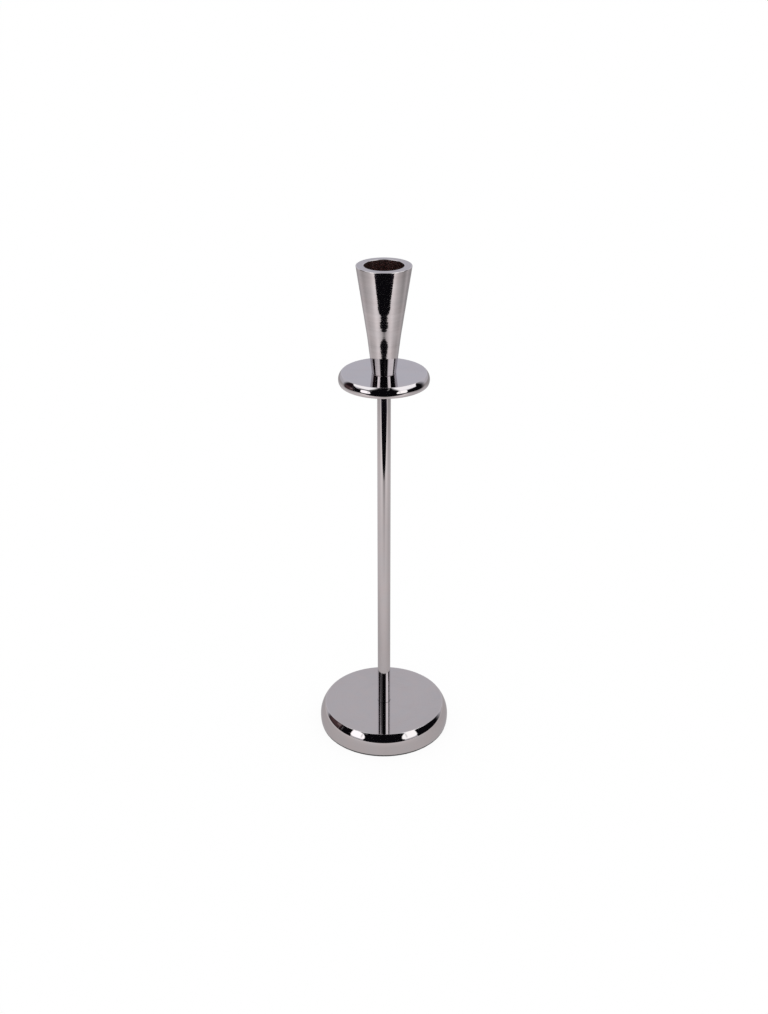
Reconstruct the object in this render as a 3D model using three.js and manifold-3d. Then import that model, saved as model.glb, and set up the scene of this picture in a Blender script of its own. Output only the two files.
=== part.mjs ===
// Tall candle holder: a cone cup on a round drip pan, a slim tube for a stem and a weighted round base.
// Sizes are in millimetres, +Z is up, and the origin is on the table under the middle of the base.
// One threaded rod runs from the foot of the cup down to a nut in the base and clamps the whole stack.

import * as THREE from 'three';
import { mergeVertices } from 'three/addons/utils/BufferGeometryUtils.js';
import Module from 'manifold-3d';

const manifold = await Module();
manifold.setup();

// Facets
const ROUND_SIDES = 64; // sides of the cup, the pan and the base
const SMALL_SIDES = 48; // sides of the stem, the rod, the washers and the nut
const EDGE_STEPS = 8; // flats along each shoulder
const SMALL_EDGE_STEPS = 3; // flats along each small rounding

// Candle and cup
const CANDLE_DIAMETER = 22;
const CANDLE_CLEARANCE = 0.5; // round the candle, on the radius
const CANDLE_BORE_DEPTH = 25;
const BORE_CHAMFER = 0.3;
const RIM_WIDTH = 4.5; // the flat ring round the candle bore
const RIM_ROUND = 0.4;
const CUP_HEIGHT = 63.8;
const CUP_FOOT_DIAMETER = 14.2;
const CUP_BEND_DIAMETER = 19.7; // where the slimmer taper at the foot meets the wider one above
const CUP_BEND_HEIGHT = 23; // above the foot
const FOOT_CHAMFER = 0.2;

// Drip pan
const PAN_DIAMETER = 53.6;
const PAN_THICKNESS = 6.3;
const PAN_WIDEST_ABOVE_UNDERSIDE = 2.4;
const PAN_CREASE_TILT = THREE.MathUtils.degToRad(43); // how steeply the shoulder leaves the flat top
const PAN_UNDERCUT = 0.7; // how far the underside draws in from the widest line

// Tie rod and stem
const ROD_DIAMETER = 5;
const ROD_GAP = 0.3; // round the rod in every hole that it passes or screws into
const ROD_CHAMFER = 0.5;
const ROD_IN_CUP = 12; // length of thread inside the foot of the cup
const TAPPED_HOLE_ROOM = 2; // past the end of the rod
const ROD_PAST_NUT = 1;
const ROD_TO_STEM_ROOM = 0.55;
const STEM_WALL = 1;
const STEM_SHOWN = 223.3; // from the top of the base to the underside of the pan
const SEAT_DEPTH = 1.2; // how far the stem sinks into the base and into the pan
const SEAT_GAP = 0.15; // round the stem in those seats

// Base
const BASE_DIAMETER = 83.6;
const BASE_WIDEST_HEIGHT = 5.8; // height of the widest line above the table
const BASE_CREASE_TILT = THREE.MathUtils.degToRad(52); // how steeply the shoulder leaves the flat top
const BASE_UNDERCUT = 0.6; // how far the wall draws in from the widest line to the felt
const SHELL_TOP_WALL = 3;
const SHELL_SIDE_WALL = 2.5;
const FELT_THICKNESS = 1.2;
const FELT_INSET = 0.75; // from the widest line of the base
const WEIGHT_GAP = 0.3; // between the weight and the side of the shell
const WEIGHT_OVER_POCKET = 3.4; // iron left above the nut's pocket

// Fasteners
const WASHER_WIDTH = 2.2;
const WASHER_THICKNESS = 1;
const SPRING_WASHER_WIDTH = 1.8;
const SPRING_WASHER_THICKNESS = 1.2;
const SPRING_WASHER_SLIT = 0.8;
const SPRING_WASHER_SLANT = THREE.MathUtils.degToRad(20);
const NUT_WALL = 1.5; // from the thread to a flat
const NUT_HEIGHT = 4;
const NUT_CHAMFER_SLOPE = Math.tan(THREE.MathUtils.degToRad(30));
const SPANNER_ROOM = 3;
const ROOM_UNDER_ROD = 0.6;

// Radii that several pieces share
const boreRadius = CANDLE_DIAMETER / 2 + CANDLE_CLEARANCE;
const rimRadius = boreRadius + RIM_WIDTH;
const footRadius = CUP_FOOT_DIAMETER / 2;
const bendRadius = CUP_BEND_DIAMETER / 2;
const rodRadius = ROD_DIAMETER / 2;
const rodHoleRadius = rodRadius + ROD_GAP;
const stemBoreRadius = rodRadius + ROD_TO_STEM_ROOM;
const stemRadius = stemBoreRadius + STEM_WALL;
const seatRadius = stemRadius + SEAT_GAP;
const panRadius = PAN_DIAMETER / 2;
const baseRadius = BASE_DIAMETER / 2;
const shellInnerRadius = baseRadius - SHELL_SIDE_WALL;
const washerRadius = rodHoleRadius + WASHER_WIDTH;
const springWasherRadius = rodHoleRadius + SPRING_WASHER_WIDTH;
const nutFlatRadius = rodRadius + NUT_WALL;
const nutCornerRadius = nutFlatRadius / Math.cos(Math.PI / 6);
const pocketRadius = Math.max(washerRadius, springWasherRadius, nutCornerRadius) + SPANNER_ROOM;

// Heights from the table up
const feltTop = FELT_THICKNESS;
const rodBottom = feltTop + ROOM_UNDER_ROD;
const nutBottom = rodBottom + ROD_PAST_NUT;
const springWasherBottom = nutBottom + NUT_HEIGHT;
const washerBottom = springWasherBottom + SPRING_WASHER_THICKNESS;
const pocketTop = washerBottom + WASHER_THICKNESS;
const weightTop = pocketTop + WEIGHT_OVER_POCKET;
const baseTop = weightTop + SHELL_TOP_WALL;
const stemBottom = baseTop - SEAT_DEPTH;
const panUnderside = baseTop + STEM_SHOWN;
const stemTop = panUnderside + SEAT_DEPTH;
const panTop = panUnderside + PAN_THICKNESS;
const rodTop = panTop + ROD_IN_CUP;
const tappedHoleTop = rodTop + TAPPED_HOLE_ROOM;
const cupTop = panTop + CUP_HEIGHT;
const boreFloor = cupTop - CANDLE_BORE_DEPTH;

// Finishes
function finish(color, metalness, roughness) {
  return new THREE.MeshStandardMaterial({ color, metalness, roughness });
}
const polishedNickel = () => finish(0xc8c2c4, 1, 0.08);
const castIron = () => finish(0x45413f, 0.8, 0.7);
const zincPlatedSteel = () => finish(0xb4b8bb, 1, 0.35);
const blackFelt = () => finish(0x171515, 0, 0.95);

// A quarter of an ellipse from one point of a profile to another, both included.
// It leaves the first point level when levelFirst is true, and upright otherwise.
function quarterRound([r0, z0], [r1, z1], levelFirst, steps = SMALL_EDGE_STEPS) {
  const points = [];
  for (let i = 0; i <= steps; i++) {
    const turn = (Math.PI / 2) * (i / steps);
    const fast = Math.sin(turn);
    const slow = 1 - Math.cos(turn);
    const along = levelFirst ? fast : slow;
    const up = levelFirst ? slow : fast;
    points.push([r0 + (r1 - r0) * along, z0 + (z1 - z0) * up]);
  }
  return points;
}

// A round shoulder from an upright wall at the widest line up to a crease at the edge of a flat top.
// It is one arc of a circle, and at the crease it still slopes by the crease's tilt.
function shoulder(widestRadius, widestHeight, topHeight, creaseTilt, steps = EDGE_STEPS) {
  const arcRadius = (topHeight - widestHeight) / Math.cos(creaseTilt);
  const points = [];
  for (let i = 0; i <= steps; i++) {
    const tilt = Math.PI / 2 + (creaseTilt - Math.PI / 2) * (i / steps);
    points.push([
      widestRadius - arcRadius * (1 - Math.sin(tilt)),
      widestHeight + arcRadius * Math.cos(tilt),
    ]);
  }
  return points;
}

// Turns a profile of [radius, height] points about the upright axis, as a lathe does.
function turned(profile, sides = ROUND_SIDES) {
  const points = profile.map(([r, z]) => new THREE.Vector2(r, z));
  return new THREE.LatheGeometry(points, sides).rotateX(Math.PI / 2);
}

// A flat ring, from its inner edge round and back to it.
function ring(inner, outer, bottom, top, sides = SMALL_SIDES) {
  return turned([[inner, bottom], [outer, bottom], [outer, top], [inner, top], [inner, bottom]], sides);
}

// A plain round bar on the axis.
function bar(radius, bottom, top, sides = SMALL_SIDES) {
  return turned([[0, bottom], [radius, bottom], [radius, top], [0, top]], sides);
}

function toSolid(geometry) {
  const bare = geometry.index ? geometry.toNonIndexed() : geometry.clone();
  bare.deleteAttribute('normal');
  bare.deleteAttribute('uv');
  const merged = mergeVertices(bare);
  const corners = merged.index.array;
  const triVerts = [];
  for (let i = 0; i < corners.length; i += 3) {
    const [a, b, c] = corners.slice(i, i + 3);
    if (a !== b && b !== c && c !== a) triVerts.push(a, b, c);
  }
  return new manifold.Manifold(new manifold.Mesh({
    numProp: 3,
    vertProperties: new Float32Array(merged.attributes.position.array),
    triVerts: new Uint32Array(triVerts),
  }));
}

function toGeometry(solid) {
  const { vertProperties, triVerts } = solid.getMesh();
  const geometry = new THREE.BufferGeometry();
  geometry.setAttribute('position', new THREE.BufferAttribute(vertProperties, 3));
  geometry.setIndex(new THREE.BufferAttribute(triVerts, 1));
  geometry.computeVertexNormals();
  return geometry;
}

// The cup is turned from one bar. Its cone spreads a little faster above the bend than below it.
// It has a blind candle bore above and a blind tapped hole below.
function candleCup() {
  return turned([
    [0, tappedHoleTop],
    [rodHoleRadius, tappedHoleTop],
    [rodHoleRadius, panTop],
    [footRadius - FOOT_CHAMFER, panTop],
    [footRadius, panTop + FOOT_CHAMFER],
    [bendRadius, panTop + CUP_BEND_HEIGHT],
    ...quarterRound([rimRadius, cupTop - RIM_ROUND], [rimRadius - RIM_ROUND, cupTop], false),
    [boreRadius + BORE_CHAMFER, cupTop],
    [boreRadius, cupTop - BORE_CHAMFER],
    [boreRadius, boreFloor],
    [0, boreFloor],
  ]);
}

// The pan is flat on both faces. A crease bounds its flat top, and its edge tucks under.
function dripPan() {
  const widestHeight = panUnderside + PAN_WIDEST_ABOVE_UNDERSIDE;
  const undersideEdge = [panRadius - PAN_UNDERCUT, panUnderside];
  return turned([
    [rodHoleRadius, panTop],
    [rodHoleRadius, stemTop],
    [seatRadius, stemTop],
    [seatRadius, panUnderside],
    ...quarterRound(undersideEdge, [panRadius, widestHeight], true, EDGE_STEPS),
    ...shoulder(panRadius, widestHeight, panTop, PAN_CREASE_TILT).slice(1),
    [rodHoleRadius, panTop],
  ]);
}

// The stem stands in a seat at each end, and the rod passes through it.
function stemTube() {
  return ring(stemBoreRadius, stemRadius, stemBottom, stemTop);
}

function tieRod() {
  return turned([
    [0, rodBottom],
    [rodRadius - ROD_CHAMFER, rodBottom],
    [rodRadius, rodBottom + ROD_CHAMFER],
    [rodRadius, rodTop - ROD_CHAMFER],
    [rodRadius - ROD_CHAMFER, rodTop],
    [0, rodTop],
  ], SMALL_SIDES);
}

// The base cover is open below. Its inside follows its outside, so the weight sits close under it.
function baseShell() {
  const wallBottom = [baseRadius - BASE_UNDERCUT, feltTop];
  return turned([
    [rodHoleRadius, stemBottom],
    [rodHoleRadius, weightTop],
    ...shoulder(shellInnerRadius, BASE_WIDEST_HEIGHT, weightTop, BASE_CREASE_TILT).reverse(),
    [shellInnerRadius, feltTop],
    ...quarterRound(wallBottom, [baseRadius, BASE_WIDEST_HEIGHT], true, EDGE_STEPS),
    ...shoulder(baseRadius, BASE_WIDEST_HEIGHT, baseTop, BASE_CREASE_TILT).slice(1),
    [seatRadius, baseTop],
    [seatRadius, stemBottom],
    [rodHoleRadius, stemBottom],
  ]);
}

// The weight fills the cover and has a pocket below for the washers, the nut and a box spanner.
function baseWeight() {
  const outerRadius = shellInnerRadius - WEIGHT_GAP;
  return turned([
    [rodHoleRadius, weightTop],
    [rodHoleRadius, pocketTop],
    [pocketRadius, pocketTop],
    [pocketRadius, feltTop],
    [outerRadius, feltTop],
    ...shoulder(outerRadius, BASE_WIDEST_HEIGHT, weightTop, BASE_CREASE_TILT),
    [rodHoleRadius, weightTop],
  ]);
}

function feltPad() {
  return bar(baseRadius - FELT_INSET, 0, feltTop, ROUND_SIDES);
}

function flatWasher() {
  return ring(rodHoleRadius, washerRadius, washerBottom, pocketTop);
}

// The spring washer is clamped flat, so it is a ring with a slanting slit.
function springWasher() {
  const middle = (springWasherBottom + washerBottom) / 2;
  const reach = 2 * springWasherRadius;
  const slit = new THREE.BoxGeometry(SPRING_WASHER_SLIT, reach, reach)
    .rotateY(SPRING_WASHER_SLANT)
    .translate(0, reach / 2, middle);
  const whole = ring(rodHoleRadius, springWasherRadius, springWasherBottom, washerBottom);
  return toGeometry(toSolid(whole).subtract(toSolid(slit)));
}

// The nut is a hexagon whose corners are turned down to the flats at both ends.
function hexNut() {
  const corners = Array.from({ length: 6 }, (_, i) => {
    const angle = (i * Math.PI) / 3;
    return new THREE.Vector2(nutCornerRadius * Math.cos(angle), nutCornerRadius * Math.sin(angle));
  });
  const pull = { depth: NUT_HEIGHT, bevelEnabled: false };
  const prism = new THREE.ExtrudeGeometry(new THREE.Shape(corners), pull).translate(0, 0, nutBottom);
  const chamferHeight = (nutCornerRadius - nutFlatRadius) * NUT_CHAMFER_SLOPE;
  const turnedDown = turned([
    [0, nutBottom],
    [nutFlatRadius, nutBottom],
    [nutCornerRadius, nutBottom + chamferHeight],
    [nutCornerRadius, springWasherBottom - chamferHeight],
    [nutFlatRadius, springWasherBottom],
    [0, springWasherBottom],
  ], SMALL_SIDES);
  const hole = bar(rodHoleRadius, nutBottom - NUT_HEIGHT, springWasherBottom + NUT_HEIGHT);
  return toGeometry(toSolid(prism).intersect(toSolid(turnedDown)).subtract(toSolid(hole)));
}

const candleHolder = new THREE.Group();

function add(name, geometry, material) {
  const mesh = new THREE.Mesh(geometry, material);
  mesh.name = name;
  candleHolder.add(mesh);
}

add('candle_cup', candleCup(), polishedNickel());
add('drip_pan', dripPan(), polishedNickel());
add('stem_tube', stemTube(), polishedNickel());
add('tie_rod', tieRod(), zincPlatedSteel());
add('base_shell', baseShell(), polishedNickel());
add('base_weight', baseWeight(), castIron());
add('flat_washer', flatWasher(), zincPlatedSteel());
add('spring_washer', springWasher(), zincPlatedSteel());
add('hex_nut', hexNut(), zincPlatedSteel());
add('felt_pad', feltPad(), blackFelt());

export default candleHolder;
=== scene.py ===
# %% [markdown]
# A tall candle holder in polished nickel
#
# The real holder is a stack of turned parts: a cone cup that takes a dinner candle, a round drip pan,
# a slim tube and a heavy round base, all clamped by one threaded rod that runs down the middle.
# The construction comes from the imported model. This file gives it its finish: finer turned surfaces,
# mirror metal that has been polished by hand, felt under the base, and a small photo studio round it.
# Polished metal has almost no look of its own, so most of the work here is in what it mirrors.

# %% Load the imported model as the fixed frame
import math

import bpy
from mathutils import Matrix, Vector


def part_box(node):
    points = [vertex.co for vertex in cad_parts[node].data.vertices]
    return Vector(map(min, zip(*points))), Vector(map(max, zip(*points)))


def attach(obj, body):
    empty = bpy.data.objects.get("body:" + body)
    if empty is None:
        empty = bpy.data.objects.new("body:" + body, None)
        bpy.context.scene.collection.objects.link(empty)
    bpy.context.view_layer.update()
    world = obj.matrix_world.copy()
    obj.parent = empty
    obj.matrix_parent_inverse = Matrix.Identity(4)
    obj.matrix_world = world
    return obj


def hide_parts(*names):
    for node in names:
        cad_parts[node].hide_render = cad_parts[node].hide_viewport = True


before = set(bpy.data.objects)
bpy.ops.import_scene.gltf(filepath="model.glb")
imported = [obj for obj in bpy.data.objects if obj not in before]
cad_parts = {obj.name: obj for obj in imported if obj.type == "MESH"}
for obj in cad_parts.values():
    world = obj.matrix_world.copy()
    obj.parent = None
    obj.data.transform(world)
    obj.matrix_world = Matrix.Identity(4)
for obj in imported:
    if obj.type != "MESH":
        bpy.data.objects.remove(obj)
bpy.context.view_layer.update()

MM = 0.001
print("nodes in the frame:", ", ".join(sorted(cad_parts)))

# %% [markdown]
# The camera stands in front of the holder, a little above it, and looks down at its middle.
# It could be placed by eye until the outlines agree, but then one wrong angle can hide another.
# So the pitch and the distance were worked out from how round the rim, the pan and the base look in
# the photograph, which needs no guess about the room. A long lens keeps the stem's sides parallel.

# %% Place the camera
CAMERA_LENS = 46.4  # millimetres
CAMERA_SENSOR = 36  # millimetres along the longer side of the picture
CAMERA_PITCH = math.radians(26.5)  # downwards
CAMERA_DISTANCE = 799.8 * MM
LOOK_HEIGHT = 157.35 * MM

camera = bpy.data.objects.new("camera", bpy.data.cameras.new("camera"))
camera.data.lens = CAMERA_LENS
camera.data.sensor_width = CAMERA_SENSOR
camera.location = (
    0,
    -CAMERA_DISTANCE * math.cos(CAMERA_PITCH),
    LOOK_HEIGHT + CAMERA_DISTANCE * math.sin(CAMERA_PITCH),
)
camera.rotation_euler = (math.pi / 2 - CAMERA_PITCH, 0, 0)
bpy.context.scene.collection.objects.link(camera)
bpy.context.scene.camera = camera
bpy.context.scene.view_settings.view_transform = "Standard"
print("camera at", tuple(round(value, 3) for value in camera.location))

# %% [markdown]
# Every finer surface has to end exactly where its solid ends, or the parts would no longer fit.
# The sizes could be typed in once more, but then the two models could drift apart, so they are read
# from the boxes of the nodes. Only what a box can't tell, such as how a shoulder leans, is written
# down, and that stands beside the piece it belongs to.

# %% Read the sizes
base_low, base_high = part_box("base_shell")
felt_low, felt_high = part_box("felt_pad")
pan_low, pan_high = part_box("drip_pan")
stem_low, stem_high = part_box("stem_tube")
cup_low, cup_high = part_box("candle_cup")
rod_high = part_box("tie_rod")[1]
weight_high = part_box("base_weight")[1]

ROD_GAP = 0.3 * MM  # round the rod, in every hole that it runs through
SEAT_GAP = 0.15 * MM  # round the stem, in the shallow seats at its two ends

rod_hole_radius = rod_high.x + ROD_GAP
seat_radius = stem_high.x + SEAT_GAP
print("height", round(cup_high.z / MM, 1), "mm, base", round(2 * base_high.x / MM, 1), "mm across")

# %% [markdown]
# A turned surface is a profile carried round the axis. A mirror shows every mistake in it: where the
# flat top meets the shoulder, averaged normals would bend the reflections of a flat that is truly flat.
# Smooth shading with a bevel does just that. So each profile is made of straight runs and arcs that
# know their own true normal. Edges that a maker would break with a file are small arcs. Each point
# also carries how much handling its edge has had, which the metal's wear uses later.

# %% Draw profiles from straight runs and arcs
WEAR_REACH = 0.5 * MM  # how far the wear of an edge spreads into the run beside it


def run_between(start, end):
    """The way from one point of a profile to another, and its normal, which points to the right hand."""
    run = Vector(end) - Vector(start)
    return run, (run.y / run.length, -run.x / run.length)


def straight(start, end, worn_start=0.0, worn_end=0.0):
    """Points (radius, height, normal, wear) along a straight run. A long one is clean in its middle."""
    run, normal = run_between(start, end)
    shares = [(0.0, worn_start), (1.0, worn_end)]
    reach = WEAR_REACH / run.length
    if reach < 0.5:
        shares[1:1] = [(reach, 0.0), (1 - reach, 0.0)]
    return [(*(Vector(start) + run * share), normal, wear) for share, wear in shares]


def arc(centre, radii, tilt_start, tilt_end, steps, wear=0.0):
    """Points along an arc. A tilt of 0 faces up, and of 90 degrees faces outwards.
    Radii below zero make a hollow, whose centre lies outside the metal."""
    across, up = radii
    points = []
    for step in range(steps + 1):
        tilt = tilt_start + (tilt_end - tilt_start) * step / steps
        lean = Vector((math.sin(tilt) * abs(up), math.cos(tilt) * abs(across))).normalized()
        place = (centre[0] + across * math.sin(tilt), centre[1] + up * math.cos(tilt))
        points.append((*place, tuple(lean), wear))
    return points


print("a straight run has", len(straight((0, 0), (1, 0))), "points, an arc one more than its steps")

# %% [markdown]
# The profile becomes a mesh in equal turns round the axis. Blender's Screw modifier does the same,
# but it works the normals out by itself. Here the corners of every face are listed in order, so the
# mesh can be given the profile's own normals. A row of points on the axis is a single point, and the
# faces that meet there are triangles.

# %% Carry a profile round the axis
TURNED_SIDES = 256  # a multiple of four, so that the widest points lie on the axes
SAME_PLACE = 1e-7  # metres; points nearer to each other than this are one point


def join_strokes(strokes):
    """The rows of points of a closed profile, and the spans between them with their two normals."""
    rows, spans = [], []
    for stroke in strokes:
        for index, (radius, height, normal, wear) in enumerate(stroke):
            if not rows or (Vector(rows[-1][:2]) - Vector((radius, height))).length > SAME_PLACE:
                rows.append((radius, height, wear))
            if index:
                spans.append((len(rows) - 2, len(rows) - 1, stroke[index - 1][2], normal))
    if (Vector(rows[0][:2]) - Vector(rows[-1][:2])).length < SAME_PLACE:
        rows.pop()
        spans = [(low % len(rows), high % len(rows), *normals) for low, high, *normals in spans]
    return rows, spans


def turned_mesh(name, strokes):
    """Carries the strokes round the axis as one closed mesh with exact normals."""
    rows, spans = join_strokes(strokes)
    turns = [2 * math.pi * side / TURNED_SIDES for side in range(TURNED_SIDES)]
    vertices, wears, firsts = [], [], []
    for radius, height, wear in rows:
        firsts.append(len(vertices))
        around = turns if radius > SAME_PLACE else turns[:1]
        vertices += [(radius * math.cos(turn), radius * math.sin(turn), height) for turn in around]
        wears += [wear] * len(around)
    faces, normals = [], []
    for low, high, normal_low, normal_high in spans:
        corners = [(low, ahead, normal_low) for ahead in (0, 1)]
        corners += [(high, ahead, normal_high) for ahead in (1, 0)]
        for side in range(TURNED_SIDES):
            face = []
            for row, ahead, normal in corners:
                on_axis = rows[row][0] <= SAME_PLACE
                if on_axis and ahead:
                    continue
                here = (side + ahead) % TURNED_SIDES
                face.append(firsts[row] + (0 if on_axis else here))
                turn = turns[here]
                normals.append((normal[0] * math.cos(turn), normal[0] * math.sin(turn), normal[1]))
            faces.append(face)
    mesh = bpy.data.meshes.new(name)
    mesh.from_pydata(vertices, [], faces)
    mesh.polygons.foreach_set("use_smooth", [True] * len(faces))
    mesh.normals_split_custom_set(normals)
    mesh.attributes.new("handling", "FLOAT", "POINT").data.foreach_set("value", wears)
    mesh.update()
    return mesh


print("turned pieces have", TURNED_SIDES, "sides")

# %% [markdown]
# On the real holder a polished part and its rough blank are one thing. Here the blank is a node of the
# frame, which the physics keeps, and the finer piece takes its place in the picture. The node could be
# moved aside or edited instead, but then the two would no longer agree. So each piece says which node
# it stands for and that it rides on the only body.

# %% Put a turned piece in the place of its node
def turned_piece(name, node, slot, strokes, *materials):
    """A piece that stands for a node of the frame and rides with it."""
    piece = bpy.data.objects.new(name, turned_mesh(name, strokes))
    bpy.context.scene.collection.objects.link(piece)
    for material in materials:
        piece.data.materials.append(material)
    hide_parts(node)
    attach(piece, "root")
    print(f"{name}: {len(piece.data.vertices)} points, {len(piece.data.polygons)} faces")
    return piece


# %% [markdown]
# A finish is a network of nodes. It could be laid out by hand in the shader editor, where each link is
# one drag of the mouse. In a script a few short helpers keep it just as easy to read: each makes one
# node, takes either a number or another node's socket for every input, and gives back its result.

# %% Node helpers
NOISE_RANGE = (0.3, 0.7)  # where nearly all the values of a noise texture lie


def add_node(tree, kind, inputs=None, **settings):
    """A node with its settings, and its inputs linked from sockets or set to values."""
    node = tree.nodes.new(kind)
    for key, value in settings.items():
        setattr(node, key, value)
    for key, value in (inputs or {}).items():
        if isinstance(value, bpy.types.NodeSocket):
            tree.links.new(value, node.inputs[key])
        else:
            node.inputs[key].default_value = value
    return node


def calculate(tree, operation, first, second=0.0):
    """One Math node's result."""
    return add_node(tree, "ShaderNodeMath", {0: first, 1: second}, operation=operation).outputs[0]


def spread(tree, value, from_low, from_high, to_low, to_high):
    """A value moved from one range to another, and kept inside it."""
    ends = {"From Min": from_low, "From Max": from_high, "To Min": to_low, "To Max": to_high}
    return add_node(tree, "ShaderNodeMapRange", {"Value": value, **ends}).outputs["Result"]


def noise(tree, place, scale, detail, **more):
    """Soft round noise, with so many lumps to the metre."""
    inputs = {"Vector": place, "Scale": scale, "Detail": detail, **more}
    return add_node(tree, "ShaderNodeTexNoise", inputs).outputs[0]


def stretched(tree, place, scale, rotation=(0.0, 0.0, 0.0)):
    """A place that is turned and stretched, so that round noise becomes long lines."""
    inputs = {"Vector": place, "Rotation": rotation, "Scale": scale}
    return add_node(tree, "ShaderNodeMapping", inputs).outputs[0]


def between(tree, share, first, second):
    """The colour a share of the way from the first to the second."""
    inputs = {"Factor": share, "A": first, "B": second}
    return add_node(tree, "ShaderNodeMix", inputs, data_type="RGBA").outputs["Result"]


def bump(tree, height, depth, **more):
    """The normal of a relief of this real depth. A depth below zero cuts into the surface."""
    inputs = {"Height": height, "Distance": abs(depth), **more}
    return add_node(tree, "ShaderNodeBump", inputs, invert=depth < 0).outputs[0]


def place_on_object(tree):
    """The place on the object in metres, the same from every side."""
    return add_node(tree, "ShaderNodeTexCoord").outputs["Object"]


print("noise is used between", *NOISE_RANGE)

# %% [markdown]
# The metals share a few effects: tool lines, film, fine scratches. Each could be copied into every
# material, but one change would then have to be made five times. So each effect is a node group with
# its own knobs. A group takes the place on the object and puts out only values. Shaders stay outside.

# %% Start a node group or a material
def new_group(name, knobs, results):
    """An empty group that takes a place and some values, and puts out values."""
    group = bpy.data.node_groups.new(name, "ShaderNodeTree")
    group.interface.new_socket("Place", in_out="INPUT", socket_type="NodeSocketVector")
    for label, default in knobs.items():
        knob = group.interface.new_socket(label, in_out="INPUT", socket_type="NodeSocketFloat")
        knob.default_value = default
    for label in results:
        group.interface.new_socket(label, in_out="OUTPUT", socket_type="NodeSocketFloat")
    return group, group.nodes.new("NodeGroupInput"), group.nodes.new("NodeGroupOutput")


def effect(tree, group, inputs):
    """A group placed in a material, with its place linked and its knobs set."""
    return add_node(tree, "ShaderNodeGroup", inputs, node_tree=group)


def new_material(name):
    """A material with its node tree and its Principled BSDF."""
    material = bpy.data.materials.new(name)
    material.use_nodes = True
    return material, material.node_tree, material.node_tree.nodes["Principled BSDF"]


print("groups so far:", len(bpy.data.node_groups))

# %% [markdown]
# Turning leaves fine rings. A Wave texture in its ring mode could draw them, but they would be as even
# as a gramophone record, and would lie in one plane only. The travel along a profile is the radius
# plus the height, so one line of noise along that travel gives uneven rings on a flat top and bands on
# a cone alike.

# %% Group: rings left by the lathe
TOOL_LINES_PER_METRE = 1100.0
RING_BANDS_PER_METRE = 90.0
LINE_DETAIL = 1.0
BAND_DETAIL = 1.5


def noise_along(tree, travel, detail):
    """Noise along a single line, with one lump for each whole number."""
    inputs = {"W": travel, "Scale": 1.0, "Detail": detail}
    return add_node(tree, "ShaderNodeTexNoise", inputs, noise_dimensions="1D").outputs[0]


def make_turning_rings():
    """Fine rings and broad bands round the axis of a turned piece."""
    knobs = {"Lines per metre": TOOL_LINES_PER_METRE}
    group, start, end = new_group("turning_rings", knobs, ("Lines", "Bands"))
    apart = add_node(group, "ShaderNodeSeparateXYZ", {0: start.outputs["Place"]})
    squares = [calculate(group, "MULTIPLY", apart.outputs[axis], apart.outputs[axis]) for axis in "XY"]
    radius = calculate(group, "SQRT", calculate(group, "ADD", *squares))
    travel = calculate(group, "ADD", radius, apart.outputs["Z"])
    fine = calculate(group, "MULTIPLY", travel, start.outputs["Lines per metre"])
    broad = calculate(group, "MULTIPLY", travel, RING_BANDS_PER_METRE)
    group.links.new(noise_along(group, fine, LINE_DETAIL), end.inputs["Lines"])
    group.links.new(noise_along(group, broad, BAND_DETAIL), end.inputs["Bands"])
    return group


turning_rings = make_turning_rings()
print("group:", turning_rings.name)

# %% [markdown]
# The stem is drawn tube, buffed along its length, so its lines run up and down instead of round. They
# could be drawn as noise over the angle, but angle noise has a seam at the back. Round noise that is
# stretched a hundredfold along the height gives the same lines without one.

# %% Group: lines left by drawing and buffing lengthwise
DRAWN_LINE_STRETCH = (1.0, 1.0, 0.01)
DRAWN_BAND_STRETCH = (1.0, 1.0, 0.05)
DRAWN_BANDS_PER_METRE = 350.0


def make_drawn_lines():
    """Fine lines and broad bands along the height."""
    knobs = {"Lines per metre": TOOL_LINES_PER_METRE}
    group, start, end = new_group("drawn_lines", knobs, ("Lines", "Bands"))
    long_lines = stretched(group, start.outputs["Place"], DRAWN_LINE_STRETCH)
    long_bands = stretched(group, start.outputs["Place"], DRAWN_BAND_STRETCH)
    lines = noise(group, long_lines, start.outputs["Lines per metre"], LINE_DETAIL)
    bands = noise(group, long_bands, DRAWN_BANDS_PER_METRE, BAND_DETAIL)
    group.links.new(lines, end.inputs["Lines"])
    group.links.new(bands, end.inputs["Bands"])
    return group


drawn_lines = make_drawn_lines()
print("group:", drawn_lines.name)

# %% [markdown]
# A hand that lifts the holder leaves a thin film. It could be painted on as a mask, but a painted mask
# needs an image. It doesn't change the metal's colour much, but it scatters a little light, so it is a
# soft patchy mask, streaked by the cloth, that raises the roughness in places. The same group gives
# slow waves, which shift the metal's tone from place to place.

# %% Group: film left by hands and the polishing cloth
PATCHES_PER_METRE = 60.0
PATCH_EDGE = (0.48, 0.72)  # the noise where a patch begins, and where it is full
CLOTH_TURN = (0.3, 0.2, 0.7)
CLOTH_STRETCH = (1.0, 6.0, 1.5)
CLOTH_STROKES_PER_METRE = 220.0
CLOTH_EDGE = (0.45, 0.75)
CLOTH_LEAST = 0.3  # how much film is left where the cloth wiped best
TONE_WAVES_PER_METRE = 130.0


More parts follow.
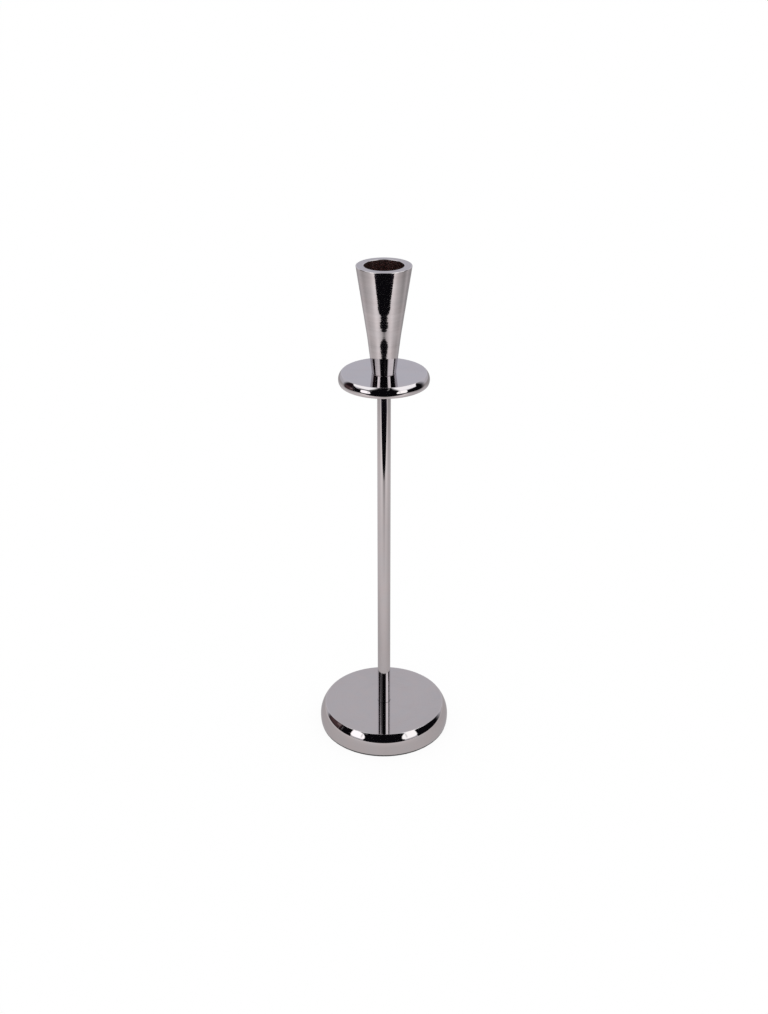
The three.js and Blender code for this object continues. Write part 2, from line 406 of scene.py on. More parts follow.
def make_hand_film():
    """A patchy film, and slow waves of tone."""
    group, start, end = new_group("hand_film", {"Patch scale": PATCHES_PER_METRE}, ("Film", "Waves"))
    place = start.outputs["Place"]
    wiped = stretched(group, place, CLOTH_STRETCH, CLOTH_TURN)
    patches = noise(group, place, start.outputs["Patch scale"], detail=4.0, Distortion=0.6)
    strokes = noise(group, wiped, CLOTH_STROKES_PER_METRE, detail=3.0)
    patchy = spread(group, patches, *PATCH_EDGE, 0.0, 1.0)
    streaky = spread(group, strokes, *CLOTH_EDGE, CLOTH_LEAST, 1.0)
    group.links.new(calculate(group, "MULTIPLY", patchy, streaky), end.inputs["Film"])
    group.links.new(noise(group, place, TONE_WAVES_PER_METRE, detail=1.0), end.inputs["Waves"])
    return group


hand_film = make_hand_film()
print("group:", hand_film.name)

# %% [markdown]
# Hairline scratches run every way on metal that has been wiped for years. Thin curves laid on the
# surface could make them, one by one. Long thin cells of noise, cut at a high threshold, leave sparse
# fine lines everywhere at once. They are so shallow that they only show where a bright edge is mirrored.

# %% Group: hairline scratches
HAIRLINE_WAYS = ((0.4, 45.0), (2.1, 60.0))  # how far each set is turned, and how much it is stretched
HAIRLINE_TIP = 0.5
HAIRLINE_CELLS_PER_METRE = 90.0
HAIRLINE_EDGE = (0.72, 0.78)  # only the very top of the noise is a scratch


def make_hairlines():
    """Two crossing sets of sparse fine lines."""
    group, start, end = new_group("hairlines", {}, ("Hairlines",))
    sets = []
    for turn, stretch in HAIRLINE_WAYS:
        turned = (HAIRLINE_TIP, turn, turn)
        place = stretched(group, start.outputs["Place"], (1.0, stretch, stretch), turned)
        lines = noise(group, place, HAIRLINE_CELLS_PER_METRE, detail=1.0)
        sets.append(spread(group, lines, *HAIRLINE_EDGE, 0.0, 1.0))
    group.links.new(calculate(group, "MAXIMUM", *sets), end.inputs["Hairlines"])
    return group


hairlines = make_hairlines()
print("group:", hairlines.name)

# %% [markdown]
# Nickel is a warm grey mirror. Its base colour is the share of light that it gives back, a little more
# red than blue. One flat colour would do for a new part. On this one the tone drifts slightly, tool
# lines and film darken it a trace, and worn edges are brighter, because a cloth reaches them first.

# %% Colour of the nickel
NICKEL_COLOUR = (0.625, 0.583, 0.590, 1.0)
NICKEL_COOL_COLOUR = (0.608, 0.586, 0.600, 1.0)
NICKEL_WORN_COLOUR = (0.69, 0.655, 0.66, 1.0)
NICKEL_EDGE_TINT = (0.82, 0.83, 0.85, 1.0)  # what the metal gives back at a grazing angle
FILM_COLOUR = (0.2, 0.17, 0.17, 1.0)
FILM_DARKENING = 0.1


def nickel_colour(tree, tooled, film, colours, line_tone):
    """The metal's own two tones, darkened by tool lines and film, and bright where it is worn."""
    tone = spread(tree, film.outputs["Waves"], *NOISE_RANGE, 0.0, 1.0)
    from_lines = spread(tree, tooled.outputs["Lines"], *NOISE_RANGE, 0.0, line_tone)
    from_bands = spread(tree, tooled.outputs["Bands"], *NOISE_RANGE, 0.0, line_tone)
    from_film = calculate(tree, "MULTIPLY", film.outputs["Film"], FILM_DARKENING)
    darkening = calculate(tree, "ADD", calculate(tree, "ADD", from_lines, from_bands), from_film)
    filmed = between(tree, darkening, between(tree, tone, *colours), FILM_COLOUR)
    handling = add_node(tree, "ShaderNodeAttribute", attribute_name="handling")
    return between(tree, handling.outputs["Fac"], filmed, NICKEL_WORN_COLOUR)


print("nickel gives back", NICKEL_COLOUR[:3], "and worn", NICKEL_WORN_COLOUR[:3])

# %% [markdown]
# What tells hand polish from chrome plate is how sharp the mirror is from place to place, and the faint
# relief that the wheel leaves. The relief could be real geometry, but it is a hundredth of a millimetre
# deep at most, so it goes into the normal, with the scratches over it. The film, the bands and the
# scratches also make the mirror a little duller, through the roughness.

# %% Roughness and relief of the nickel
BAND_ROUGHENING = 0.3  # how much rougher the broad bands are, as a share of the metal's own roughness
SCRATCH_ROUGHENING = 0.5  # how much rougher a scratch is, as a share of what the film adds
HAIRLINE_SHARE = 0.12  # a scratch's depth, as a share of the tool lines' depth


def nickel_roughness(tree, tooled, film, scratches, roughness, film_roughness):
    """The polish, made a little duller by the bands, the film and the scratches."""
    from_film = calculate(tree, "MULTIPLY", film.outputs["Film"], film_roughness)
    from_bands = spread(tree, tooled.outputs["Bands"], *NOISE_RANGE, 0.0, BAND_ROUGHENING * roughness)
    scratch_roughness = SCRATCH_ROUGHENING * film_roughness
    from_scratches = calculate(tree, "MULTIPLY", scratches.outputs["Hairlines"], scratch_roughness)
    added = calculate(tree, "ADD", from_film, calculate(tree, "ADD", from_bands, from_scratches))
    return calculate(tree, "ADD", added, roughness)


def nickel_relief(tree, tooled, scratches, line_depth, band_depth):
    """The normal that tool lines, bands and scratches leave, one on top of the other."""
    normal = bump(tree, tooled.outputs["Lines"], line_depth)
    normal = bump(tree, tooled.outputs["Bands"], band_depth, Normal=normal)
    return bump(tree, scratches.outputs["Hairlines"], -HAIRLINE_SHARE * line_depth, Normal=normal)


print("scratches are", HAIRLINE_SHARE, "of the depth of the tool lines")

# %% [markdown]
# All five metal surfaces are the same nickel, worked in different ways. The pan and the base are
# mirrors. The stem was buffed lengthwise. The cup was polished less finely, so its rings show and its
# edges of light are soft, and its bore was only reamed, which leaves it dull and reddish. One function
# with a few knobs makes all five, so they stay one metal.

# %% Make the nickel
MIRROR_LINES = 0.0003 * MM  # how deep the tool lines are
CUP_LINES = 0.006 * MM
BORE_LINES = 0.004 * MM
MIRROR_BANDS = 0.003 * MM  # how deep the broad bands are
STEM_BANDS = 0.0015 * MM
BORE_BANDS = 0.01 * MM
BASE_PATCHES_PER_METRE = 45.0
CUP_LINES_PER_METRE = 450.0
BORE_COLOURS = ((0.60, 0.43, 0.41, 1.0), (0.44, 0.315, 0.305, 1.0))


def nickel(
    name,
    roughness,
    film_roughness,
    line_depth,
    band_depth,
    lines=turning_rings,
    lines_per_metre=TOOL_LINES_PER_METRE,
    patch_scale=PATCHES_PER_METRE,
    line_tone=0.02,
    colours=(NICKEL_COLOUR, NICKEL_COOL_COLOUR),
):
    """Polished nickel with its tool lines, film, hairlines and worn edges."""
    material, tree, metal = new_material(name)
    metal.inputs["Metallic"].default_value = 1.0
    metal.inputs["Specular Tint"].default_value = NICKEL_EDGE_TINT
    place = place_on_object(tree)
    tooled = effect(tree, lines, {"Place": place, "Lines per metre": lines_per_metre})
    film = effect(tree, hand_film, {"Place": place, "Patch scale": patch_scale})
    scratches = effect(tree, hairlines, {"Place": place})
    colour = nickel_colour(tree, tooled, film, colours, line_tone)
    dullness = nickel_roughness(tree, tooled, film, scratches, roughness, film_roughness)
    tree.links.new(colour, metal.inputs["Base Color"])
    tree.links.new(dullness, metal.inputs["Roughness"])
    tree.links.new(nickel_relief(tree, tooled, scratches, line_depth, band_depth), metal.inputs["Normal"])
    return material


pan_nickel = nickel(
    "pan_nickel", roughness=0.02, film_roughness=0.02, line_depth=MIRROR_LINES, band_depth=MIRROR_BANDS
)
base_nickel = nickel(
    "base_nickel",
    roughness=0.02,
    film_roughness=0.025,
    line_depth=MIRROR_LINES,
    band_depth=MIRROR_BANDS,
    patch_scale=BASE_PATCHES_PER_METRE,
)
stem_nickel = nickel(
    "stem_nickel",
    roughness=0.03,
    film_roughness=0.02,
    line_depth=MIRROR_LINES,
    band_depth=STEM_BANDS,
    lines=drawn_lines,
)
cup_nickel = nickel(
    "cup_nickel",
    roughness=0.04,
    film_roughness=0.02,
    line_depth=CUP_LINES,
    band_depth=MIRROR_BANDS,
    lines_per_metre=CUP_LINES_PER_METRE,
    line_tone=0.08,
)
bore_nickel = nickel(
    "bore_nickel",
    roughness=0.2,
    film_roughness=0.08,
    line_depth=BORE_LINES,
    band_depth=BORE_BANDS,
    lines=drawn_lines,
    colours=BORE_COLOURS,
)
nickel_finishes = (pan_nickel, base_nickel, stem_nickel, cup_nickel, bore_nickel)
print("nickel finishes:", ", ".join(material.name for material in nickel_finishes))

# %% [markdown]
# The cup's edges are broken with a file, and its two tapers blend over a long hollow that no one would
# notice by its outline. A bevel modifier could round the edges, but not to a rounding that just touches
# the cone and the rim. Here each rounding is worked out from the corner where its two sides would meet.

# %% Round an edge or a bend of the cup
ROUND_STEPS = 5
BEND_STEPS = 24


def rim_rounding(corner, radius, lean, steps):
    """The rounding where the cone meets its flat rim. The corner is where the two would meet."""
    reach = radius * math.tan((math.pi / 2 + lean) / 2)
    centre = (corner[0] - reach, corner[1] - radius)
    return arc(centre, (radius, radius), math.pi / 2 + lean, 0, steps, wear=1.0)


def bend_rounding(corner, radius, lean_below, lean_above, steps):
    """The long hollow that blends two tapers. The corner is where they would meet."""
    reach = radius * math.tan((lean_above - lean_below) / 2)
    start = Vector(corner) - reach * Vector((math.sin(lean_below), math.cos(lean_below)))
    centre = start + radius * Vector((math.cos(lean_below), -math.sin(lean_below)))
    tilts = (math.pi / 2 + lean_below, math.pi / 2 + lean_above)
    return arc(centre, (-radius, -radius), *tilts, steps)


print("an edge is rounded in", ROUND_STEPS, "steps and the bend in", BEND_STEPS)

# %% [markdown]
# The cone was ground on a belt, which leaves waves too shallow to feel. In the photograph the edges of
# its reflections shiver at one height, and that is all that shows of them. Noise in the normal could
# shake those edges too, but evenly. Real waves, a hundredth of a millimetre deep and fading up and down
# from one height, bend the reflections as a belt does, and their normals come from their own slope.

# %% Ground waves in the cone
WAVE_STEPS = 64
WAVE_Z = 276.2 * MM
WAVE_LENGTH = 11.8 * MM
WAVE_DEPTH = 0.015 * MM
WAVE_REACH = 13.5 * MM


def fine_run(start, end, steps, worn_end=0.0):
    """A straight run with many points, so that it can follow the belt's waves."""
    run, normal = run_between(start, end)
    shares = [step / steps for step in range(steps + 1)]
    return [(*(Vector(start) + run * share), normal, worn_end * (share == 1)) for share in shares]


def with_belt_waves(stroke):
    """The same run with shallow waves, strongest round one height, and the normals that go with them."""
    waved = []
    for radius, height, normal, wear in stroke:
        off = height - WAVE_Z
        fading = math.exp(-((off / WAVE_REACH) ** 4))
        phase = 2 * math.pi * off / WAVE_LENGTH
        swell = -WAVE_DEPTH * math.sin(phase) * fading
        slope = -WAVE_DEPTH * 2 * math.pi / WAVE_LENGTH * math.cos(phase) * fading
        leaned = Vector((normal[0], normal[1] - slope)).normalized()
        waved.append((radius + swell, height, tuple(leaned), wear))
    return waved


print("belt waves:", round(WAVE_DEPTH / MM, 3), "mm deep,", round(WAVE_LENGTH / MM, 1), "mm apart")

# %% [markdown]
# The cup is turned from one bar: a cone outside, a blind bore for the candle above and a tapped hole
# for the rod below. The rim is a flat ring with both edges just broken. The cone is two tapers, and
# the bend between them sits 1.5 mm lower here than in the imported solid, because the reflections show
# where it is better than the outline does. That moves the surface by less than 0.05 mm.

# %% Draw the cup
CUP_FOOT_RADIUS = 7.1 * MM
CUP_BEND_RADIUS = 9.624 * MM
CUP_BEND_ABOVE_FOOT = 21.5 * MM
CANDLE_BORE_RADIUS = 11.5 * MM
CANDLE_BORE_DEPTH = 25 * MM
TAPPED_HOLE_ROOM = 2 * MM
RIM_ROUND = 0.4 * MM
BORE_ROUND = 0.3 * MM
FOOT_ROUND = 0.2 * MM
BEND_ROUND = 260 * MM

cup_foot_z, cup_top_z = cup_low.z, cup_high.z
cup_bend_z = cup_foot_z + CUP_BEND_ABOVE_FOOT
bore_floor_z = cup_top_z - CANDLE_BORE_DEPTH
tapped_hole_top_z = rod_high.z + TAPPED_HOLE_ROOM
foot_side = (CUP_FOOT_RADIUS, cup_foot_z + FOOT_ROUND)
lower_lean = math.atan2(CUP_BEND_RADIUS - CUP_FOOT_RADIUS, CUP_BEND_ABOVE_FOOT)
upper_lean = math.atan2(cup_high.x - CUP_BEND_RADIUS, cup_top_z - cup_bend_z)
cup_bend = bend_rounding((CUP_BEND_RADIUS, cup_bend_z), BEND_ROUND, lower_lean, upper_lean, BEND_STEPS)

rim_arc = rim_rounding((cup_high.x, cup_top_z), RIM_ROUND, upper_lean, ROUND_STEPS)
widest = max(point[0] for point in rim_arc)
rim_arc = [(radius + cup_high.x - widest, *rest) for radius, *rest in rim_arc]

bore_corner = (CANDLE_BORE_RADIUS + BORE_ROUND, cup_top_z - BORE_ROUND)
bore_arc = arc(bore_corner, (BORE_ROUND, BORE_ROUND), 0, -math.pi / 2, ROUND_STEPS, wear=1.0)

cup_strokes = [
    straight((0, tapped_hole_top_z), (rod_hole_radius, tapped_hole_top_z)),
    straight((rod_hole_radius, tapped_hole_top_z), (rod_hole_radius, cup_foot_z)),
    straight((rod_hole_radius, cup_foot_z), (CUP_FOOT_RADIUS - FOOT_ROUND, cup_foot_z)),
    straight((CUP_FOOT_RADIUS - FOOT_ROUND, cup_foot_z), foot_side),
    with_belt_waves(fine_run(foot_side, cup_bend[0][:2], BEND_STEPS)),
    with_belt_waves(cup_bend),
    with_belt_waves(fine_run(cup_bend[-1][:2], rim_arc[0][:2], WAVE_STEPS, worn_end=1.0)),
    rim_arc,
    straight(rim_arc[-1][:2], bore_arc[0][:2], worn_start=1.0, worn_end=1.0),
    bore_arc,
    straight(bore_arc[-1][:2], (CANDLE_BORE_RADIUS, bore_floor_z), worn_start=1.0),
    straight((CANDLE_BORE_RADIUS, bore_floor_z), (0, bore_floor_z)),
]
print("tapers lean", *(round(math.degrees(lean), 2) for lean in (lower_lean, upper_lean)), "degrees")

# %% [markdown]
# The bore is the same metal as the outside, but a reamer leaves it dull, and light that goes in dies
# after a few bounces, which is why it looks nearly black. The bore could be a piece of its own. It is
# one turned part on the real holder, so it stays one mesh with a second material on its inner faces.

# %% Turn the cup
ROUNDING_ROOM = 0.01 * MM  # for the last digits of a measured place

cup = turned_piece("cone_cup", "candle_cup", "polished_nickel", cup_strokes, cup_nickel, bore_nickel)
for face in cup.data.polygons:
    inside = math.hypot(face.center.x, face.center.y) < CANDLE_BORE_RADIUS + ROUNDING_ROOM
    face.material_index = int(inside and face.center.z > bore_floor_z - ROUNDING_ROOM)
print("faces in the bore:", sum(face.material_index for face in cup.data.polygons))

# %% [markdown]
# Pan and base share one form: a flat top that ends in a crease, a shoulder that is one arc of a circle
# and a lower wall that draws in. Buffing softens the crease to a narrow rounding, which shows as a thin
# bright line in the photograph. A bevel would round it by eye. An arc that touches both the flat and
# the shoulder has the right normals all along.

# %% Shape a shoulder with a softened crease
CREASE_ROUND = 0.35 * MM
CREASE_WEAR = 0.6
SHOULDER_STEPS = 28
LOWER_STEPS = 12


def soft_shoulder(widest_radius, widest_z, top_z, crease_tilt, undercut, low_z):
    """The lower wall, the shoulder and the softened crease, from the underside up to the flat."""
    big = (top_z - widest_z) / math.cos(crease_tilt)
    big_centre = Vector((widest_radius - big, widest_z))
    small_z = top_z - CREASE_ROUND - widest_z
    small_offset = math.sqrt((big - CREASE_ROUND) ** 2 - small_z**2)
    meet_tilt = math.atan2(small_offset, small_z)
    small_centre = big_centre + Vector((small_offset, small_z))
    lower_centre, lower_radii = (widest_radius - undercut, widest_z), (undercut, widest_z - low_z)
    lower = arc(lower_centre, lower_radii, math.pi, math.pi / 2, LOWER_STEPS)
    shoulder = arc(big_centre, (big, big), math.pi / 2, meet_tilt, SHOULDER_STEPS)
    crease = arc(small_centre, (CREASE_ROUND, CREASE_ROUND), meet_tilt, 0, ROUND_STEPS, CREASE_WEAR)
    return [lower, shoulder, crease]


print("creases are rounded over", round(CREASE_ROUND / MM, 2), "mm")

# %% [markdown]
# The drip pan is a thick turned disc with a hole for the rod and a shallow seat for the stem below.
# It could be a flattened cylinder with rounded edges, but its crease, its shoulder and its undercut
# carry separate lines of light, so its whole section is drawn.

# %% Turn the drip pan
PAN_WIDEST_ABOVE_UNDERSIDE = 2.4 * MM
PAN_CREASE_TILT = math.radians(43)
PAN_UNDERCUT = 0.7 * MM

pan_widest_z = pan_low.z + PAN_WIDEST_ABOVE_UNDERSIDE
pan_edge = soft_shoulder(pan_high.x, pan_widest_z, pan_high.z, PAN_CREASE_TILT, PAN_UNDERCUT, pan_low.z)
pan_strokes = [
    straight((rod_hole_radius, pan_high.z), (rod_hole_radius, stem_high.z)),
    straight((rod_hole_radius, stem_high.z), (seat_radius, stem_high.z)),
    straight((seat_radius, stem_high.z), (seat_radius, pan_low.z)),
    straight((seat_radius, pan_low.z), pan_edge[0][0][:2]),
    *pan_edge,
    straight(pan_edge[-1][-1][:2], (rod_hole_radius, pan_high.z), worn_start=CREASE_WEAR),
]
turned_piece("round_pan", "drip_pan", "polished_nickel", pan_strokes, pan_nickel)

# %% [markdown]
# The stem is drawn tube, cut to length and buffed end to end. A solid rod would look the same, but the
# real one is hollow and the clamping rod runs through it. It stands in a shallow seat at each end, so
# no gap shows where it meets the pan and the base.

# %% Turn the stem
STEM_WALL = 1 * MM

stem_bore_radius = stem_high.x - STEM_WALL
stem_strokes = [
    straight((stem_bore_radius, stem_low.z), (stem_high.x, stem_low.z)),
    straight((stem_high.x, stem_low.z), (stem_high.x, stem_high.z)),
    straight((stem_high.x, stem_high.z), (stem_bore_radius, stem_high.z)),
    straight((stem_bore_radius, stem_high.z), (stem_bore_radius, stem_low.z)),
]
turned_piece("slim_stem", "stem_tube", "polished_nickel", stem_strokes, stem_nickel)

# %% [markdown]
# The base is a hollow cover with an iron disc inside. A solid puck would look the same from outside,
# but a shell has to stay a shell, so its inside is modelled as the real one is: its wall follows the
# shoulder at an even thickness.

# %% Turn the base
BASE_WIDEST_HEIGHT = 5.8 * MM
BASE_CREASE_TILT = math.radians(52)
BASE_UNDERCUT = 0.6 * MM
SHELL_SIDE_WALL = 2.5 * MM

shell_inner_radius = base_high.x - SHELL_SIDE_WALL
inner_size = (weight_high.z - BASE_WIDEST_HEIGHT) / math.cos(BASE_CREASE_TILT)
inner_centre = (shell_inner_radius - inner_size, BASE_WIDEST_HEIGHT)
inner_tilts = (BASE_CREASE_TILT, math.pi / 2)
inner_shoulder = arc(inner_centre, (inner_size, inner_size), *inner_tilts, SHOULDER_STEPS)
inner_shoulder = [(radius, height, (-x, -y), wear) for radius, height, (x, y), wear in inner_shoulder]
base_edge = soft_shoulder(
    base_high.x, BASE_WIDEST_HEIGHT, base_high.z, BASE_CREASE_TILT, BASE_UNDERCUT, base_low.z
)
base_strokes = [
    straight((rod_hole_radius, stem_low.z), (rod_hole_radius, weight_high.z)),
    straight((rod_hole_radius, weight_high.z), inner_shoulder[0][:2]),
    inner_shoulder,
    straight(inner_shoulder[-1][:2], (shell_inner_radius, base_low.z)),
    straight((shell_inner_radius, base_low.z), base_edge[0][0][:2]),
    *base_edge,
    straight(base_edge[-1][-1][:2], (seat_radius, base_high.z), worn_start=CREASE_WEAR),
    straight((seat_radius, base_high.z), (seat_radius, stem_low.z)),
    straight((seat_radius, stem_low.z), (rod_hole_radius, stem_low.z)),
]
turned_piece("round_base", "base_shell", "polished_nickel", base_strokes, base_nickel)

# %% [markdown]
# The felt is pressed wool, nearly black. It could be a dark matt plastic and few would see it, but wool
# scatters light from loose fibres, so it gets sheen, a matted bump and paler fluff on its high spots.

# %% Make the felt
FELT_COLOUR = (0.012, 0.011, 0.011, 1.0)
FELT_FLUFF_COLOUR = (0.035, 0.032, 0.031, 1.0)
FELT_FIBRES_PER_METRE = 1800.0
FELT_CLUMPS_PER_METRE = 220.0
FELT_FLUFF_EDGE = (0.15, 0.4)
FELT_NAP = 0.15 * MM


def black_felt():
    """Matted black wool."""
    material, tree, wool = new_material("black_felt")
    wool.inputs["Roughness"].default_value = 0.95
    wool.inputs["Sheen Weight"].default_value = 0.4
    wool.inputs["Sheen Roughness"].default_value = 0.6
    place = place_on_object(tree)
    matted = noise(tree, place, FELT_FIBRES_PER_METRE, detail=6.0, Roughness=0.7)
    clumps = noise(tree, place, FELT_CLUMPS_PER_METRE, detail=3.0)
    fluffy = spread(tree, calculate(tree, "MULTIPLY", matted, clumps), *FELT_FLUFF_EDGE, 0.0, 1.0)
    tree.links.new(between(tree, fluffy, FELT_COLOUR, FELT_FLUFF_COLOUR), wool.inputs["Base Color"])
    tree.links.new(bump(tree, matted, FELT_NAP, Strength=0.8), wool.inputs["Normal"])
    return material


felt_material = black_felt()
print("felt:", felt_material.name)

# %% [markdown]
# The felt disc is cut with a knife along the base, and only its edge shows, as a thin dark line. A
# clean disc would give that line too sharply. So its lower edge is rounded and its side is drawn in a
# little, unevenly, by two waves that don't repeat together. On the four axes it keeps its full width.

# %% Cut the felt
FELT_ROUND = 0.25 * MM
FELT_RAGGED = 0.12 * MM
FULL_WIDTH_PLACES = 4
FINE_NICKS = 61  # round the disc
BROAD_NICKS = 23
NICK_SLANT = 9  # radians for each millimetre of height

round_centre = (felt_high.x - FELT_ROUND, felt_low.z + FELT_ROUND)
felt_rounding = arc(round_centre, (FELT_ROUND, FELT_ROUND), math.pi, math.pi / 2, ROUND_STEPS)
felt_strokes = [
    straight((0, felt_low.z), felt_rounding[0][:2]),
    felt_rounding,
    straight((felt_high.x, round_centre[1]), (felt_high.x, felt_high.z)),
    straight((felt_high.x, felt_high.z), (0, felt_high.z)),
]
felt = turned_piece("felt_disc", "felt_pad", "black_felt", felt_strokes, felt_material)
for vertex in felt.data.vertices:
    turn = math.atan2(vertex.co.y, vertex.co.x)
    slant = NICK_SLANT * vertex.co.z / MM
    ragged = 0.5 - 0.5 * math.cos(FULL_WIDTH_PLACES * turn)
    ragged *= 0.5 + 0.5 * math.sin(FINE_NICKS * turn) * math.sin(BROAD_NICKS * turn + slant)
    if math.hypot(vertex.co.x, vertex.co.y) > round_centre[0]:
        vertex.co.xy *= 1 - ragged * FELT_RAGGED / felt_high.x

# %% [markdown]
# The rod, the washers and the nut are zinc plated steel. They are inside and keep their solids, and a
# plain grey would never be noticed. They still get the finish that they would show on the bench:
# a spangle of paler and darker zinc, uneven in its gloss, over the rings that a lathe or a die left.

# %% Make the zinc
ZINC_DARK = (0.42, 0.44, 0.47, 1)
ZINC_PALE = (0.56, 0.57, 0.58, 1)
ZINC_ROUGHNESS = (0.28, 0.45)
ZINC_SPANGLES_PER_METRE = 700.0
ZINC_LINES = 0.01 * MM


def zinc_plate():
    """Zinc plated steel."""
    material, tree, metal = new_material("zinc_plate")
    metal.inputs["Metallic"].default_value = 1.0
    place = place_on_object(tree)
    spangle = noise(tree, place, ZINC_SPANGLES_PER_METRE, detail=4.0)
    roughness = spread(tree, spangle, *NOISE_RANGE, *ZINC_ROUGHNESS)
    rings = effect(tree, turning_rings, {"Place": place})
    tree.links.new(between(tree, spangle, ZINC_DARK, ZINC_PALE), metal.inputs["Base Color"])
    tree.links.new(roughness, metal.inputs["Roughness"])
    tree.links.new(bump(tree, rings.outputs["Lines"], ZINC_LINES), metal.inputs["Normal"])
    return material


zinc = zinc_plate()
print("hidden finish:", zinc.name)

# %% [markdown]
# The weight in the base is a raw iron casting, dark and sandy. A bump texture with fine grain gives the
# sand of the mould, and slow blotches of brown stand for the first rust. Displaced geometry would be
# closer to the real thing, but nothing here is ever seen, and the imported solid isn't changed.

# %% Make the cast iron
IRON_DARK = (0.045, 0.042, 0.04, 1)
IRON_RUSTY = (0.085, 0.07, 0.06, 1)
IRON_ROUGHNESS = (0.6, 0.85)
IRON_GRAINS_PER_METRE = 900.0
IRON_BLOTCHES_PER_METRE = 90.0
IRON_SAND = 0.1 * MM


def cast_iron():
    """A raw iron casting."""
    material, tree, metal = new_material("cast_iron")
    metal.inputs["Metallic"].default_value = 0.7
    place = place_on_object(tree)
    grains = noise(tree, place, IRON_GRAINS_PER_METRE, detail=8.0, Roughness=0.65)
    blotches = noise(tree, place, IRON_BLOTCHES_PER_METRE, detail=3.0)
    roughness = spread(tree, grains, *NOISE_RANGE, *IRON_ROUGHNESS)
    tree.links.new(between(tree, blotches, IRON_DARK, IRON_RUSTY), metal.inputs["Base Color"])
    tree.links.new(roughness, metal.inputs["Roughness"])
    tree.links.new(bump(tree, grains, IRON_SAND, Strength=0.7), metal.inputs["Normal"])
    return material


iron = cast_iron()
print("hidden finish:", iron.name)

# %% [markdown]
# These parts need no finer surface, because no one sees them. They could be replaced as the outer ones
# are, for nothing. So the nodes of the frame stay as they are, and only their materials are exchanged.

# %% Finish the hidden pieces
HIDDEN_FINISHES = {
    "tie_rod": zinc,
    "flat_washer": zinc,
    "spring_washer": zinc,
    "hex_nut": zinc,
    "base_weight": iron,
}

for node, finish in HIDDEN_FINISHES.items():
    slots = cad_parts[node].data.materials
    slots.clear()
    slots.append(finish)
print("finished inside:", ", ".join(HIDDEN_FINISHES))

# %% [markdown]
# Now the studio. The mirrored picture in the base and the pan tells how the room was laid out: a pale
# table that ends in front of the holder, a dark room beyond it, two tall soft boxes at the front
# corners, two wide ones overhead, and dark openings at both sides. One photograph of a room could be
# wrapped round the object, but it would slide wrongly over the curves, and it needs an image. Here
# each thing is a card that glows by itself, so the mirrors work out the curved reflections.

# %% Make a card glow
def glowing(name, colour, strength=1.0):
    """A card's colour as a mirror sees it, where a strength of 1 is white. The card fades to clear."""
    material, tree, _ = new_material(name)
    tree.nodes.clear()
    glow = add_node(tree, "ShaderNodeAttribute", attribute_name="glow").outputs["Fac"]
    light = add_node(tree, "ShaderNodeEmission", {"Color": (*colour, 1.0), "Strength": strength})
    clear = add_node(tree, "ShaderNodeBsdfTransparent")
    ways = {"Fac": glow, 1: clear.outputs[0], 2: light.outputs[0]}
    mixed = add_node(tree, "ShaderNodeMixShader", ways)
    add_node(tree, "ShaderNodeOutputMaterial", {"Surface": mixed.outputs[0]})
    return material


dark = glowing("dark_room", (0.004, 0.0035, 0.005))
print("glow of the dark room:", dark.name)

# %% [markdown]
# A real soft box is bright in its middle and fades towards its frame, and a wall in the dark has no
# edge at all. An area light can't fade like that. So a card is a grid of small cells, and every point
# of the grid says how much it glows. A fade is given for each side, as a share of the card, in the
# order left, right, low, high.

# %% Fade a card towards its sides
CARD_STEPS = 40  # cells along each side of a card, fine enough for a smooth fade


def faded(share, fade):
    """How far a fade has gone: 1 at the side of the card, and 0 from the end of the fade inwards."""
    return max(0.0, 1 - share / fade) if fade else 0.0


def glow_at(across, up, fades, crispness):
    """How much a card glows at one of its points. Its corners are rounded as its sides fade."""
    left, right, low, high = fades
    inward = max(faded(across, left), faded(1 - across, right))
    upward = max(faded(up, low), faded(1 - up, high))
    near = min(1.0, max(0.0, 1 - math.hypot(inward, upward)) * crispness)
    return near * near * (3 - 2 * near)


left_fade = [round(glow_at(share, 0.5, (0.5, 0, 0, 0), 1), 2) for share in (0, 0.125, 0.25, 0.375, 0.5)]
print("glow from a faded side inwards:", left_fade)

# %% [markdown]
# A card can be bent: it is a sheet stretched between edges, each a row of places. A subdivided plane
# could be pushed into the same shape by hand. The camera, the shadows and the soft light don't see the
# cards, only mirrors do, so they change nothing but the reflections. They belong to the stage.

# %% Stretch a card between its edges
def along(places, share):
    """The place at a share of the way along a row of places, which stand at equal shares."""
    reach = share * (len(places) - 1)
    index = min(int(reach), len(places) - 2)
    return Vector(places[index]).lerp(Vector(places[index + 1]), reach - index)


def card(name, edges, material, fades=(0, 0, 0, 0), crispness=1.0):
    """A sheet through edges from low to high. Only mirrors see it."""
    points, glows = [], []
    shares = [step / CARD_STEPS for step in range(CARD_STEPS + 1)]
    for up in shares:
        for across in shares:
            points.append(along([along(edge, across) for edge in edges], up))
            glows.append(glow_at(across, up, fades, crispness))
    row = CARD_STEPS + 1
    firsts = [i * row + j for i in range(CARD_STEPS) for j in range(CARD_STEPS)]
    faces = [(first, first + 1, first + row + 1, first + row) for first in firsts]
    mesh = bpy.data.meshes.new(name)
    mesh.from_pydata(points, [], faces)
    mesh.attributes.new("glow", "FLOAT", "POINT").data.foreach_set("value", glows)
    mesh.materials.append(material)
    sheet = bpy.data.objects.new(name, mesh)
    bpy.context.scene.collection.objects.link(sheet)
    for ray in ("camera", "diffuse", "shadow", "volume_scatter"):
        setattr(sheet, f"visible_{ray}", False)
    print("card:", name)


print("cells in a card:", CARD_STEPS**2)

# %% [markdown]
# In a mirror it matters in which direction a thing lies, more than where it stands. So the places of
# the studio are given by direction from the holder's axis and by height, or by angle above the level,
# which can be read off the reflections. Plain coordinates would have to be worked out for each.

